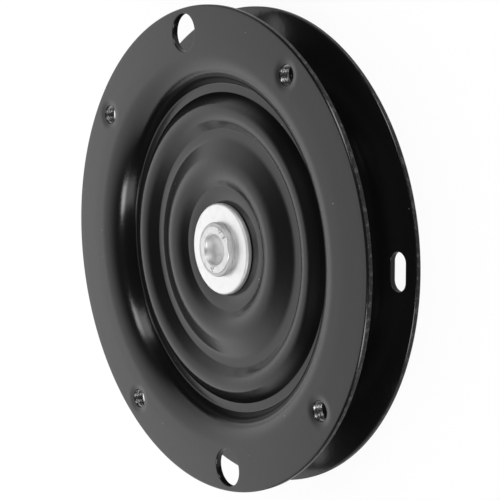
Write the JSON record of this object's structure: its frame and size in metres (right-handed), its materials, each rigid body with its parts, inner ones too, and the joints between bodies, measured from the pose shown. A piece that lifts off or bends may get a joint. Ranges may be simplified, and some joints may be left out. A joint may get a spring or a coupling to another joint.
{
  "type": "seat swivel plate",
  "caption": "Round stool-seat swivel: dished pressed-steel plates that turn on a caged ball race about a central rivet, with tapped and slotted flange holes for bolting.",
  "frame": {"origin": "swivel axis, on the face of the base plate's flange that lies on the stool frame", "axes": "+Z along the swivel axis from the base plate to the seat plate; +X through one slot of the base plate"},
  "size_m": [0.2, 0.2, 0.0271],
  "materials": {
    "black_paint": "satin black stoved paint",
    "zinc_washer": "bright zinc plate",
    "zinc_rivet": "bright zinc plate, marked by forming",
    "cage_steel": "plain strip",
    "ball_steel": "polished"
  },
  "bodies": {
    "base": {"base_plate": "black_paint", "lower_washer": "zinc_washer", "pivot_rivet": "zinc_rivet", "upper_washer": "zinc_washer"},
    "seat": {"seat_plate": "black_paint"},
    "ball_ring": {"ball_cage": "cage_steel", "bearing_balls": "ball_steel"}
  },
  "joints": [
    {"name": "swivel", "type": "hinge", "parent": "base", "child": "seat", "pos_m": [0, 0, 0.01355], "axis": [0, 0, 1], "continuous": true},
    {"name": "ball_ring_turn", "type": "hinge", "parent": "base", "child": "ball_ring", "pos_m": [0, 0, 0.01355], "axis": [0, 0, 1], "continuous": true}
  ],
  "couplings": [
    {"joint": "ball_ring_turn", "follows": "swivel", "ratio": 0.5}
  ]
}
